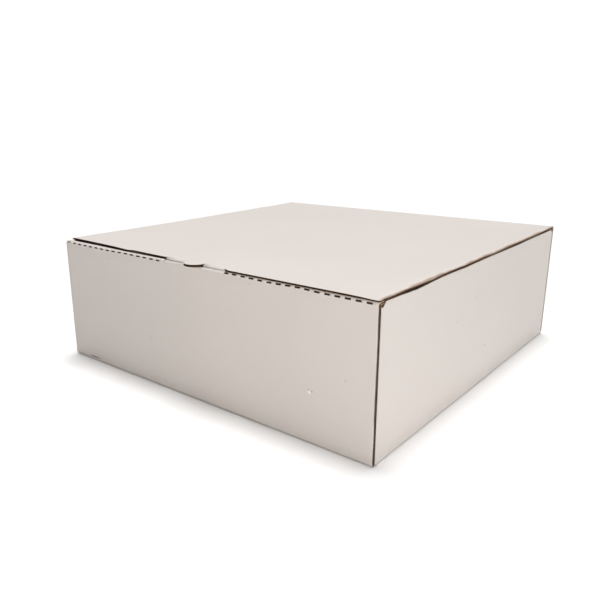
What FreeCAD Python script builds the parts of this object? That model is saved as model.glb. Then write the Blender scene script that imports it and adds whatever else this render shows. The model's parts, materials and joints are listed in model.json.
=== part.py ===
import FreeCAD, Part
import os

import Sketcher

# One-piece cake box, die-cut from a sheet of fine-flute corrugated board and folded up.
#
# The sheet is split in two bodies at the one fold that opens and closes in use, between the back
# wall and the lid:
#   tray  floor, side walls, corner flaps, back wall, and the front wall rolled over the front flaps
#   lid   flat panel, with a tongue that tucks down behind the front wall and a thumb tab
#
# Axes: X runs along the front, Y from front to back, Z up. The origin is the middle of the underside.

doc = FreeCAD.newDocument("cake_box")

# ---------------------------------------------------------------------------------------------------
# Driving sizes, in millimetres

SIZES = (
    ("inside_width", 305.0, "clear width between the side walls"),
    ("inside_depth", 305.0, "clear depth between the front lining and the rear corner flaps"),
    ("inside_height", 101.6, "clear height between the floor and the lid"),
    ("board", 1.6, "thickness of the corrugated board"),
    ("fold_inner", 0.4, "inner radius of every crease"),
    ("layer_gap", 0.3, "air between two layers that lie on each other"),
    ("lid_gap", 0.3, "air between the lid and the walls that it rests on"),
    ("side_drop", 0.6, "how far the side walls stop below the front and back walls"),
    ("roll_room", 1.4, "spare room between the layers of the rolled front wall"),
    ("flap_length", 70.0, "length of a corner flap from the side wall's outer face"),
    ("foot_gap", 0.3, "air between the floor's folds and the foot of a corner flap"),
    ("notch_run", 7.0, "length of the slanted notch at each end of a side wall's top"),
    ("notch_drop", 5.5, "depth of that notch, and how far the corner flaps stop short"),
    ("lock_width", 40.0, "width of a lock tab at the lining's foot"),
    ("lock_spacing", 160.0, "distance between the middles of the two lock tabs"),
    ("lock_recess", 0.3, "how far a lock tab's tip stays above the underside"),
    ("cut_length", 3.9, "length of one perforation cut"),
    ("cut_pitch", 7.6, "distance from one perforation cut to the next"),
    ("cut_width", 0.9, "gape of a perforation cut across the fold"),
    ("cut_margin", 3.9, "distance from the wall's end to the first perforation cut"),
    ("lid_setback", 4.3, "distance from the front face to the lid's front edge"),
    ("tongue_width", 60.0, "width of the lid's tongue at its fold"),
    ("tongue_length", 25.0, "how far the tongue reaches down from the lid's top"),
    ("tongue_taper", 6.0, "how much narrower the tongue's tip is on each side"),
    ("tongue_shoulder", 11.0, "depth at which the tongue starts to narrow"),
    ("tongue_lean", 1.15, "lean of the tongue, as a multiple of what its swing needs"),
    ("slot_clearance", 1.0, "play at each end of the tongue in its slot"),
    ("thumb_radius", 8.5, "radius of the thumb tab"),
    ("tongue_shift", 4.0, "how far right of the middle the tongue, its slot and the thumb tab lie"),
)

sheet = doc.addObject("Spreadsheet::Sheet", "Sizes")
for row, (alias, size, meaning) in enumerate(SIZES, start=1):
    sheet.set(f"A{row}", meaning)
    sheet.set(f"B{row}", str(size))
    sheet.setAlias(f"B{row}", alias)
doc.recompute()

# ---------------------------------------------------------------------------------------------------
# Lines and planes worked out from the driving sizes, as expressions

BOARD = "Sizes.board"
GAP = "Sizes.layer_gap"
BEND_IN = "Sizes.fold_inner"
BEND_OUT = "(Sizes.fold_inner + Sizes.board)"
NEXT_LAYER = f"({BOARD} + {GAP})"

WIDTH = f"(Sizes.inside_width + 2 * {BOARD})"
ROLL_DEPTH = f"(3 * {BOARD} + 2 * {GAP} + Sizes.roll_room)"
DEPTH = f"(Sizes.inside_depth + {ROLL_DEPTH} + {NEXT_LAYER} + {BOARD})"
SIDE = f"({WIDTH} / 2)"
REAR = f"({DEPTH} / 2)"
FRONT = f"(-{REAR})"

LID_UNDER = f"({BOARD} + Sizes.inside_height)"
LID_TOP = f"({LID_UNDER} + {BOARD})"
WALL_TOP = f"({LID_UNDER} - Sizes.lid_gap)"
SIDE_TOP = f"({WALL_TOP} - Sizes.side_drop)"
FLAP_TOP = f"({SIDE_TOP} - Sizes.notch_drop)"
FLAP_FOOT = f"({BEND_OUT} + Sizes.foot_gap)"

# The corner flaps are folded off the side walls one layer inside the front and back walls.
CORNER_LINE = f"({REAR} - {NEXT_LAYER} - {BEND_OUT})"
FLAP_FACE = f"({REAR} - {NEXT_LAYER})"

# The front wall rolls over: up the outer panel, back along the top, and down the lining.
ROLL_TURN = f"({FRONT} + {ROLL_DEPTH} - {BEND_OUT})"
LINING_BACK = f"({FRONT} + {ROLL_DEPTH})"
LINING_FACE = f"({LINING_BACK} - {BOARD})"
LINING_FOOT = f"({BOARD} + {GAP})"
SLOT_HALF = "(Sizes.tongue_width / 2 + Sizes.slot_clearance)"

# The lid turns about the middle of its own thickness, over the back wall.
HINGE_LINE = f"({REAR} - {BOARD} / 2)"
HINGE_HEIGHT = f"({LID_UNDER} + {BOARD} / 2)"
LID_FRONT = f"({FRONT} + Sizes.lid_setback)"

# The tongue folds down just behind the outer front panel. Its tip swings forward by about its length
# squared over twice the lid's depth as the lid turns, so it leans back by a little more than that.
TONGUE_FACE = f"({FRONT} + {NEXT_LAYER})"
TONGUE_TURN = f"({TONGUE_FACE} + {BEND_OUT})"
TONGUE_CENTRE = f"({LID_TOP} - {BEND_OUT})"
TONGUE_RUN = f"(Sizes.tongue_length - {BEND_OUT})"
LEAN = f"(Sizes.tongue_lean * atan(Sizes.tongue_length / (2 * {DEPTH})))"
THUMB_LINE = f"({TONGUE_TURN} - {BEND_OUT} / 2)"


def value(expression):
    """Return the number that an expression on the sheet stands for."""
    result = sheet.evalExpression(expression)
    return float(getattr(result, "Value", result))


def negative(expression):
    """Return the expression of the mirrored coordinate."""
    return f"(-{expression})"


def beside_tongue(sign, distance):
    """Return the expression of a coordinate this far to the left or right of the tongue's middle."""
    return f"(Sizes.tongue_shift {sign} {distance})"


# ---------------------------------------------------------------------------------------------------
# Sketches and features


def lock_point(sketch, edge, end, across, up):
    """Tie one end of a sketch edge to two expressions, measured from the sketch's origin."""
    for kind, expression in (("DistanceX", across), ("DistanceY", up)):
        constraint = Sketcher.Constraint(kind, -1, 1, edge, end, value(expression))
        number = sketch.addConstraint(constraint)
        sketch.setExpression(f"Constraints[{number}]", expression)


def draw_outline(sketch, corners):
    """Draw one closed outline and tie every corner and bend to the sheet.

    A corner is (across, up). A third entry (centre across, centre up, radius) makes the edge that
    leaves this corner an arc, up to half a turn long.
    """
    points = [FreeCAD.Vector(value(corner[0]), value(corner[1]), 0) for corner in corners]
    edges = []
    for index, corner in enumerate(corners):
        start = points[index]
        finish = points[(index + 1) % len(points)]
        if len(corner) == 2:
            edges.append((sketch.addGeometry(Part.LineSegment(start, finish)), 1, 2))
            continue
        centre = FreeCAD.Vector(value(corner[2][0]), value(corner[2][1]), 0)
        radius = value(corner[2][2])
        circle = Part.Circle(centre, FreeCAD.Vector(0, 0, 1), radius)
        forward = (start - centre).cross(finish - centre).z > 0
        first, last = (start, finish) if forward else (finish, start)
        arc = Part.ArcOfCircle(circle, circle.parameter(first), circle.parameter(last))
        number = sketch.addGeometry(arc)
        edges.append((number, 1, 2) if forward else (number, 2, 1))
        bend = sketch.addConstraint(Sketcher.Constraint("Radius", number, radius))
        sketch.setExpression(f"Constraints[{bend}]", corner[2][2])
    for index, corner in enumerate(corners):
        edge, start_end, finish_end = edges[index]
        following = edges[(index + 1) % len(edges)]
        sketch.addConstraint(
            Sketcher.Constraint("Coincident", edge, finish_end, following[0], following[1])
        )
        lock_point(sketch, edge, start_end, corner[0], corner[1])


def new_sketch(body, name, plane, outlines, offset="0"):
    """Make a sketch on one of the body's own origin planes, moved along the plane's normal."""
    sketch = body.newObject("Sketcher::SketchObject", name)
    support = next(entry for entry in body.Origin.OriginFeatures if entry.Role == plane)
    sketch.AttachmentSupport = [(support, "")]
    sketch.MapMode = "FlatFace"
    sketch.setExpression("AttachmentOffset.Base.z", offset)
    for corners in outlines:
        draw_outline(sketch, corners)
    return sketch


def pad(body, name, sketch, length, symmetric=False):
    """Thicken a sketch along its normal, or equally to both sides."""
    feature = body.newObject("PartDesign::Pad", name)
    feature.Profile = sketch
    feature.setExpression("Length", length)
    feature.SideType = "Symmetric" if symmetric else "One side"
    return feature


def pocket(body, name, sketch, length, symmetric=False, along_normal=False):
    """Cut a sketch against its normal, along it, or equally to both sides."""
    feature = body.newObject("PartDesign::Pocket", name)
    feature.Profile = sketch
    feature.setExpression("Length", length)
    feature.SideType = "Symmetric" if symmetric else "One side"
    feature.Reversed = along_normal
    return feature


def rectangle(left, right, bottom, top):
    """Return the outline of a rectangle between four expressions."""
    return [(left, bottom), (right, bottom), (right, top), (left, top)]


def mirrored(corners):
    """Return an outline mirrored across the sketch's upright axis."""
    flipped = []
    for corner in corners:
        entry = (negative(corner[0]), corner[1])
        if len(corner) == 3:
            centre_across, centre_up, radius = corner[2]
            entry += ((negative(centre_across), centre_up, radius),)
        flipped.append(entry)
    return flipped


def turned_over(corners):
    """Return an outline mirrored across the sketch's level axis."""
    flipped = []
    for corner in corners:
        entry = (corner[0], negative(corner[1]))
        if len(corner) == 3:
            centre_across, centre_up, radius = corner[2]
            entry += ((centre_across, negative(centre_up), radius),)
        flipped.append(entry)
    return flipped


def wall_section(face, top):
    """Return the section of a wall folded up from the floor, with its outer face at `face`."""
    crease = f"({face} - {BEND_OUT})"
    return [
        (crease, "0", (crease, BEND_OUT, BEND_OUT)),
        (face, BEND_OUT),
        (face, top),
        (f"({face} - {BOARD})", top),
        (f"({face} - {BOARD})", BEND_OUT, (crease, BEND_OUT, BEND_IN)),
        (crease, BOARD),
    ]


# ---------------------------------------------------------------------------------------------------
# Tray


def make_tray():
    """Build the floor, walls, corner flaps and rolled front as one folded sheet."""
    body = doc.addObject("PartDesign::Body", "tray")
    body.Label = "tray"

    # Floor, with the two slots that take the lining's lock tabs.
    floor_side = f"({SIDE} - {BEND_OUT})"
    floor_rear = f"({REAR} - {BEND_OUT})"
    outlines = [rectangle(negative(floor_side), floor_side, negative(floor_rear), floor_rear)]
    for sign in ("", "-"):
        middle = f"({sign}Sizes.lock_spacing / 2)"
        outlines.append(
            rectangle(
                f"({middle} - Sizes.lock_width / 2 - {GAP})",
                f"({middle} + Sizes.lock_width / 2 + {GAP})",
                f"({LINING_FACE} - {GAP})",
                f"({LINING_BACK} + {GAP})",
            )
        )
    pad(body, "floor", new_sketch(body, "floor_outline", "XY_Plane", outlines), BOARD)

    # Side walls, between the upright folds of the corner flaps.
    section = wall_section(SIDE, SIDE_TOP)
    sketch = new_sketch(body, "side_section", "XZ_Plane", [section, mirrored(section)])
    pad(body, "side_walls", sketch, f"2 * {CORNER_LINE}", symmetric=True)

    # Corner flaps, each folded off the end of a side wall.
    crease = f"({SIDE} - {BEND_OUT})"
    flap_end = f"({SIDE} - Sizes.flap_length)"
    flap_back = f"({FLAP_FACE} - {BOARD})"
    rear_right = [
        (SIDE, CORNER_LINE, (crease, CORNER_LINE, BEND_OUT)),
        (crease, FLAP_FACE),
        (flap_end, FLAP_FACE),
        (flap_end, flap_back),
        (crease, flap_back, (crease, CORNER_LINE, BEND_IN)),
        (f"({SIDE} - {BOARD})", CORNER_LINE),
    ]
    front_right = turned_over(rear_right)
    outlines = [rear_right, mirrored(rear_right), front_right, mirrored(front_right)]
    sketch = new_sketch(body, "flap_section", "XY_Plane", outlines, offset=FLAP_FOOT)
    pad(body, "corner_flaps", sketch, f"{FLAP_TOP} - {FLAP_FOOT}")

    # Slanted notches at the ends of the side walls' tops.
    rear_notch = [
        (CORNER_LINE, FLAP_TOP),
        (CORNER_LINE, SIDE_TOP),
        (f"({CORNER_LINE} - Sizes.notch_run)", SIDE_TOP),
    ]
    sketch = new_sketch(body, "notch_outline", "YZ_Plane", [rear_notch, mirrored(rear_notch)])
    pocket(body, "side_notches", sketch, WIDTH, symmetric=True)

    # Back wall. Its top edge lies under the lid's fold.
    sketch = new_sketch(body, "back_section", "YZ_Plane", [wall_section(REAR, WALL_TOP)])
    pad(body, "back_wall", sketch, WIDTH, symmetric=True)

    # Outer front panel and the first fold of the roll, over the box's whole width.
    panel_back = f"({FRONT} + {BOARD})"
    crease = f"({FRONT} + {BEND_OUT})"
    fold_height = f"({WALL_TOP} - {BEND_OUT})"
    roll_under = f"({WALL_TOP} - {BOARD})"
    front_section = [
        (crease, "0", (crease, BEND_OUT, BEND_OUT)),
        (FRONT, BEND_OUT),
        (FRONT, fold_height, (crease, fold_height, BEND_OUT)),
        (crease, WALL_TOP),
        (ROLL_TURN, WALL_TOP),
        (ROLL_TURN, roll_under),
        (crease, roll_under, (crease, fold_height, BEND_IN)),
        (panel_back, fold_height),
        (panel_back, BEND_OUT, (crease, BEND_OUT, BEND_IN)),
        (crease, BOARD),
    ]
    sketch = new_sketch(body, "front_section", "YZ_Plane", [front_section])
    pad(body, "front_panel", sketch, WIDTH, symmetric=True)

    # The floor's front and back folds stop short of the side walls' folds.
    square = rectangle(f"({SIDE} - {BEND_OUT})", SIDE, FRONT, f"({FRONT} + {BEND_OUT})")
    rear_square = turned_over(square)
    outlines = [square, mirrored(square), rear_square, mirrored(rear_square)]
    sketch = new_sketch(body, "relief_outline", "XY_Plane", outlines)
    pocket(body, "corner_reliefs", sketch, BEND_OUT, along_normal=True)

    # Second fold of the roll and the lining, which drops between the side walls.
    lining_section = [
        (ROLL_TURN, WALL_TOP, (ROLL_TURN, fold_height, BEND_OUT)),
        (LINING_BACK, fold_height),
        (LINING_BACK, LINING_FOOT),
        (LINING_FACE, LINING_FOOT),
        (LINING_FACE, fold_height, (ROLL_TURN, fold_height, BEND_IN)),
        (ROLL_TURN, roll_under),
    ]
    sketch = new_sketch(body, "lining_section", "YZ_Plane", [lining_section])
    pad(body, "lining", sketch, f"Sizes.inside_width - 2 * {GAP}", symmetric=True)

    # Lock tabs at the lining's foot, down through the floor's slots.
    outlines = []
    for sign in ("", "-"):
        middle = f"({sign}Sizes.lock_spacing / 2)"
        left = f"({middle} - Sizes.lock_width / 2)"
        right = f"({middle} + Sizes.lock_width / 2)"
        outlines.append(rectangle(left, right, LINING_FACE, LINING_BACK))
    sketch = new_sketch(body, "lock_outline", "XY_Plane", outlines, offset="Sizes.lock_recess")
    pad(body, "lock_tabs", sketch, f"{LINING_FOOT} - Sizes.lock_recess")

    # Slot for the tongue: the roll's top is cut away behind the outer panel.
    slot_left, slot_right = beside_tongue("-", SLOT_HALF), beside_tongue("+", SLOT_HALF)
    outline = rectangle(slot_left, slot_right, panel_back, ROLL_TURN)
    sketch = new_sketch(body, "slot_outline", "XY_Plane", [outline], offset=fold_height)
    pocket(body, "tongue_slot", sketch, BEND_OUT, along_normal=True)

    # Perforation cuts through the first fold of the roll, from each end towards the slot. Each is a
    # slanted box, square to the fold's outer corner: from inside the bend to clear of its outer face.
    slant = "sqrt(0.5)"
    across_in = f"(Sizes.fold_inner / 2 * {slant})"
    across_out = f"(({BEND_OUT} + Sizes.cut_width) * {slant})"
    half_gape = f"(Sizes.cut_width / 2 * {slant})"
    cut_section = [
        (f"({crease} - {across_out} - {half_gape})", f"({fold_height} + {across_out} - {half_gape})"),
        (f"({crease} - {across_out} + {half_gape})", f"({fold_height} + {across_out} + {half_gape})"),
        (f"({crease} - {across_in} + {half_gape})", f"({fold_height} + {across_in} + {half_gape})"),
        (f"({crease} - {across_in} - {half_gape})", f"({fold_height} + {across_in} - {half_gape})"),
    ]
    first_cut = f"({SIDE} - Sizes.cut_margin)"
    for name, offset, inward, slot_end in (
        ("right", first_cut, True, slot_right),
        ("left", f"(Sizes.cut_length - {first_cut})", False, negative(slot_left)),
    ):
        room = f"({first_cut} - {slot_end} - Sizes.cut_length - {GAP})"
        sketch = new_sketch(body, f"{name}_cut_section", "YZ_Plane", [cut_section], offset=offset)
        cut = pocket(body, f"{name}_cut", sketch, "Sizes.cut_length")
        doc.recompute()
        pattern = body.newObject("PartDesign::LinearPattern", f"{name}_cuts")
        pattern.Originals = [cut]
        axis = next(entry for entry in body.Origin.OriginFeatures if entry.Role == "X_Axis")
        pattern.Direction = (axis, [""])
        pattern.Mode = "Spacing"
        pattern.Reversed = inward
        pattern.setExpression("Offset", "Sizes.cut_pitch")
        pattern.setExpression("Occurrences", f"floor({room} / Sizes.cut_pitch) + 1")
        body.Tip = pattern
    return body


# ---------------------------------------------------------------------------------------------------
# Lid


def make_lid():
    """Build the lid panel with its tongue and thumb tab."""
    body = doc.addObject("PartDesign::Body", "lid")
    body.Label = "lid"

    # Flat panel. Its rear end is rounded about the hinge line.
    half = f"({BOARD} / 2)"
    panel_section = [
        (LID_FRONT, LID_UNDER),
        (HINGE_LINE, LID_UNDER, (HINGE_LINE, HINGE_HEIGHT, half)),
        (f"({HINGE_LINE} + {half})", HINGE_HEIGHT, (HINGE_LINE, HINGE_HEIGHT, half)),
        (HINGE_LINE, LID_TOP),
        (LID_FRONT, LID_TOP),
    ]
    sketch = new_sketch(body, "panel_section", "YZ_Plane", [panel_section])
    pad(body, "panel", sketch, WIDTH, symmetric=True)

    # Tongue: on from the panel's middle, over its fold and down behind the front panel.
    root = f"({LID_FRONT} + {BOARD})"

    def on_tongue(radius, run):
        """Return the point of the tongue's face at this radius of the fold, `run` below it."""
        across = f"({TONGUE_TURN} - {radius} * cos({LEAN}) + {run} * sin({LEAN}))"
        up = f"({TONGUE_CENTRE} - {radius} * sin({LEAN}) - {run} * cos({LEAN}))"
        return across, up

    tongue_section = [
        (root, LID_TOP),
        (TONGUE_TURN, LID_TOP, (TONGUE_TURN, TONGUE_CENTRE, BEND_OUT)),
        on_tongue(BEND_OUT, "0"),
        on_tongue(BEND_OUT, TONGUE_RUN),
        on_tongue(BEND_IN, TONGUE_RUN),
        on_tongue(BEND_IN, "0") + ((TONGUE_TURN, TONGUE_CENTRE, BEND_IN),),
        (TONGUE_TURN, LID_UNDER),
        (root, LID_UNDER),
    ]
    sketch = new_sketch(
        body, "tongue_section", "YZ_Plane", [tongue_section], offset="Sizes.tongue_shift"
    )
    pad(body, "tongue", sketch, "Sizes.tongue_width", symmetric=True)

    # The tongue narrows to its tip, and the thumb tab leaves a half-round hole at its fold.
    tongue_half = "(Sizes.tongue_width / 2)"
    tip = f"({LID_TOP} - Sizes.tongue_length - {BOARD})"
    shoulders = [
        [
            (beside_tongue(sign, tongue_half), f"({LID_TOP} - Sizes.tongue_shoulder)"),
            (beside_tongue(sign, tongue_half), tip),
            (beside_tongue(sign, f"({tongue_half} - Sizes.tongue_taper)"), tip),
        ]
        for sign in "+-"
    ]
    middle = "Sizes.tongue_shift"
    radius = "Sizes.thumb_radius"
    thumb_left, thumb_right = beside_tongue("-", radius), beside_tongue("+", radius)
    hole = [
        (thumb_left, LID_UNDER, (middle, LID_UNDER, radius)),
        (middle, f"({LID_UNDER} - {radius})", (middle, LID_UNDER, radius)),
        (thumb_right, LID_UNDER),
    ]
    sketch = new_sketch(body, "tongue_cutouts", "XZ_Plane", [*shoulders, hole])
    pocket(body, "tongue_shape", sketch, DEPTH, symmetric=True)

    # Thumb tab, left in the lid's plane when the tongue is folded down.
    thumb = [
        (thumb_left, THUMB_LINE, (middle, THUMB_LINE, radius)),
        (middle, f"({THUMB_LINE} - {radius})", (middle, THUMB_LINE, radius)),
        (thumb_right, THUMB_LINE),
        (thumb_right, root),
        (thumb_left, root),
    ]
    sketch = new_sketch(body, "thumb_outline", "XY_Plane", [thumb], offset=LID_UNDER)
    pad(body, "thumb_tab", sketch, BOARD)
    return body


# ---------------------------------------------------------------------------------------------------
# Build, check and export

bodies = [make_tray(), make_lid()]
doc.recompute()

for entry in doc.Objects:
    if {"Invalid", "Error"} & set(entry.State):
        raise RuntimeError(f"{entry.Name} failed to build: {entry.State}")
for body in bodies:
    if body.Shape.isNull() or not body.Shape.isValid():
        raise RuntimeError(f"{body.Label} has no valid shape")
    if len(body.Shape.Solids) != 1:
        raise RuntimeError(f"{body.Label} is {len(body.Shape.Solids)} solids, not one folded sheet")

os.makedirs("parts", exist_ok=True)
for body in bodies:
    body.Shape.exportStep(f"parts/{body.Label}.step")
    box = body.Shape.BoundBox
    print(
        f"{body.Label}: {box.XLength:.2f} x {box.YLength:.2f} x {box.ZLength:.2f} mm,"
        f" from y {box.YMin:.2f} to {box.YMax:.2f}, z {box.ZMin:.2f} to {box.ZMax:.2f},"
        f" {body.Shape.Volume / 1000:.1f} cm3"
    )
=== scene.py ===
"""Looks of a one-piece cake box of fine-flute board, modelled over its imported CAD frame.

The board is built as it is made: an outer liner, a fluted middle and an inner liner, each a thin closed
sheet. A panel follows a path in a plane, of straight runs joined by round folds, and is as wide as the
wall that it makes. Lengths are in millimetres until a mesh is made.
"""

import json

import bpy
import numpy as np
from mathutils import Euler, Matrix, Vector


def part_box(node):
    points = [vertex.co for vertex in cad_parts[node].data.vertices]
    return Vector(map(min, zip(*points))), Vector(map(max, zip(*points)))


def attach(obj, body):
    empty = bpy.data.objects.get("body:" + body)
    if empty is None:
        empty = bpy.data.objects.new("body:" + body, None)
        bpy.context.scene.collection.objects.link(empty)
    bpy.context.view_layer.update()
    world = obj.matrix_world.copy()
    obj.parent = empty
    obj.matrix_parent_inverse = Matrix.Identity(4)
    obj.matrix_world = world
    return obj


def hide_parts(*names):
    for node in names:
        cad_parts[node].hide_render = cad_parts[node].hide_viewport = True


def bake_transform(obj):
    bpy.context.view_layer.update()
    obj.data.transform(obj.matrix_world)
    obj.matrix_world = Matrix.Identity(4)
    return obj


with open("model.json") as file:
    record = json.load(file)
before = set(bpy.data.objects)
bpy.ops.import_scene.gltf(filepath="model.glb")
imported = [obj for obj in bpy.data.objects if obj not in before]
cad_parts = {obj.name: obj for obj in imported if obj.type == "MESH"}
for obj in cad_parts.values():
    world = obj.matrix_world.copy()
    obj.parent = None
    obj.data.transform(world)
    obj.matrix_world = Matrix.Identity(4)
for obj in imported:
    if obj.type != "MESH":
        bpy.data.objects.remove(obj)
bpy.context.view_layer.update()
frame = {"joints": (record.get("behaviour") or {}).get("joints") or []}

# ---------------------------------------------------------------------------------------------------
# Sizes

MM = 0.001
tray_low, tray_high = (np.array(corner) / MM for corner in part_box("tray"))
lid_high = np.array(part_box("lid")[1]) / MM
hinge = np.array(frame["joints"][0]["pos_m"]) / MM

# Box and board
SIDE = tray_high[0]
FRONT, REAR = tray_low[1], tray_high[1]
WALL_TOP = tray_high[2]
LID_TOP = lid_high[2]
HALF = LID_TOP - hinge[2]
BOARD = 2 * HALF
LID_MIDDLE = LID_TOP - HALF

# Folds
FOLD_INNER = 0.4
FOLD_MID = FOLD_INNER + HALF
FOLD_OUTER = FOLD_INNER + BOARD
RIGHT_ANGLE = np.pi / 2
FOLD_LENGTH = FOLD_MID * RIGHT_ANGLE
FOLD_STEPS = 8
LAYER_GAP = 0.3
NEXT_LAYER = BOARD + LAYER_GAP

# Side walls and corner flaps
SIDE_TOP = WALL_TOP - 0.6
NOTCH_RUN = 3.5
NOTCH_DROP = 3.0
FLAP_TOP = SIDE_TOP - NOTCH_DROP
FLAP_FOOT = FOLD_OUTER + LAYER_GAP
FLAP_BEND_FOOT = 0.8
FLAP_END = SIDE - 70.0
CORNER_LINE = REAR - NEXT_LAYER - FOLD_OUTER

# Rolled front wall
FRONT_CREASE = FRONT + FOLD_OUTER
FOLD_HEIGHT = WALL_TOP - FOLD_OUTER
ROLL_RUN = 2.8
LINING_SIDE = SIDE - BOARD - LAYER_GAP
LINING_BACK = FRONT_CREASE + ROLL_RUN + FOLD_OUTER
LINING_FOOT = BOARD + LAYER_GAP
LOCK_INNER, LOCK_OUTER = 60.0, 100.0
LOCK_TIP = 0.3
CUTS_LEFT, LONE_CUT, CUTS_RIGHT = (-149.9, -33.9), 36.2, (43.4, 147.5)
CUT_LENGTH = 3.9
CUT_GAPE = 0.48
SLOT_HALF = 31.0
SLOT_ANGLE = np.radians(66)

# Lid
TONGUE_SHIFT = 4.0
TONGUE_HALF = 30.0
TONGUE_LEFT, TONGUE_RIGHT = TONGUE_SHIFT - TONGUE_HALF, TONGUE_SHIFT + TONGUE_HALF
TONGUE_LENGTH, TONGUE_RUN = 25.0, 23.0
TONGUE_TURN = FRONT + NEXT_LAYER + FOLD_OUTER
TONGUE_LEAN = 1.15 * np.arctan(TONGUE_LENGTH / (2 * (REAR - FRONT)))  # so that its tip can swing out
TONGUE_TAPER = 6.0
TONGUE_SHOULDER = 14.0
THUMB_RADIUS = 8.5
THUMB_LINE = TONGUE_TURN - FOLD_OUTER / 2
LID_CREASE = REAR - FOLD_OUTER

# The board's layers
LINER = 0.24
MEDIUM = 0.15
WAVE = HALF - LINER - MEDIUM / 2 - 0.02
FLUTE = 3.24
FLUTE_STEP = FLUTE / 8
WHITE, KRAFT, CORE, CUT = range(4)

# ---------------------------------------------------------------------------------------------------
# Paths, sample lines and soft waves


def fold_path(start, heading, *moves):
    """Return a board's middle line as rows of length so far, across, up, heading and whether it bends.

    A move is ("run", length) or ("fold", angle). A fold turns right about a centre FOLD_MID away, so it
    is FOLD_MID times its angle long.
    """
    rows = []
    length, (across, up) = 0.0, start
    for kind, size in moves:
        rows.append((length, across, up, heading, float(kind == "fold")))
        if kind == "run":
            across += size * np.cos(heading)
            up += size * np.sin(heading)
            length += size
        else:
            across += FOLD_MID * (np.sin(heading) - np.sin(heading - size))
            up += FOLD_MID * (np.cos(heading - size) - np.cos(heading))
            heading -= size
            length += FOLD_MID * size
    return np.array(rows)


def on_path(path, length, off):
    """Return across and up of the places at these lengths, `off` to the left of the path.

    On a run the place is start + run * along + off * left. On a fold the left turns with the length, and
    the place is start + FOLD_MID * (left - first left) + off * left.
    """
    row = path[np.clip(np.searchsorted(path[:, 0], length, side="right") - 1, 0, len(path) - 1)]
    first, fold = row[..., 3], row[..., 4]
    run = length - row[..., 0]
    heading = first - fold * run / FOLD_MID
    straight = (1 - fold) * run
    bent = fold * FOLD_MID
    across = row[..., 1] + straight * np.cos(first) - bent * (np.sin(heading) - np.sin(first))
    up = row[..., 2] + straight * np.sin(first) + bent * (np.cos(heading) - np.cos(first))
    return across - off * np.sin(heading), up + off * np.cos(heading)


def in_space(plane, across, up, beside):
    """Put plane coordinates in space: a yz path is wide along X, an xz path along Y, an xy path along Z."""
    parts = {"yz": (beside, across, up), "xz": (across, beside, up), "xy": (across, up, beside)}[plane]
    return np.stack(np.broadcast_arrays(*parts), axis=-1)


def lines(spacing, *fixed):
    """Return sample lines through every fixed value, filled evenly at most `spacing` apart."""
    stops = np.unique(np.round(np.concatenate([np.ravel(value) for value in fixed]), 7))
    stops = stops[np.append(True, np.diff(stops) > 1e-4)]
    steps = np.maximum(1, np.ceil(np.diff(stops) / spacing - 1e-6)).astype(int)
    parts = [np.linspace(low, high, count, endpoint=False)
             for low, high, count in zip(stops[:-1], stops[1:], steps)]
    return np.concatenate([*parts, stops[-1:]])


def both_ways(*values):
    """Return the values and their mirror images."""
    values = np.concatenate([np.ravel(value) for value in values])
    return np.concatenate([values, -values])


def bend_lines(path, steps=FOLD_STEPS):
    """Return the lengths of a path's run ends, and of even steps inside its folds."""
    folds = path[path[:, 4] > 0, 0]
    inside = np.add.outer(folds, np.linspace(0, FOLD_LENGTH, steps + 1)).ravel()
    return np.concatenate([path[:, 0], inside])


def middles(rows, columns):
    """Return the middles of the cells between sample lines, as a column and a row."""
    return (rows[:-1, None] + rows[1:, None]) / 2, (columns[None, :-1] + columns[None, 1:]) / 2


def ease(value, low, high):
    """Return 0 below low, 1 above high, and a smooth step between."""
    share = np.clip((value - low) / (high - low), 0, 1)
    return share * share * (3 - 2 * share)


def drift(first, second, seed, span):
    """Return soft waves from -1 to 1: the mean of six plane sines with seeded headings and lengths."""
    rng = np.random.default_rng(seed)
    total = 0.0
    for _ in range(6):
        heading, stretch, phase = rng.uniform((0, 0.6, 0), (2 * np.pi, 1.8, 2 * np.pi))
        along = first * np.cos(heading) + second * np.sin(heading)
        total = total + np.sin(2 * np.pi * along / (span * stretch) + phase) / 6
    return total


def dent(first, second, middle, reach):
    """Return a round dent from 1 at its middle: exp of minus the squared distance in reaches."""
    return np.exp(-((first - middle[0]) / reach[0]) ** 2 - ((second - middle[1]) / reach[1]) ** 2)


# ---------------------------------------------------------------------------------------------------
# Panels of board


def plain(length, beside):
    """Give the offsets of a board's outer and inner face where nothing has worn it."""
    return HALF + 0 * length, -HALF + 0 * length


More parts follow.
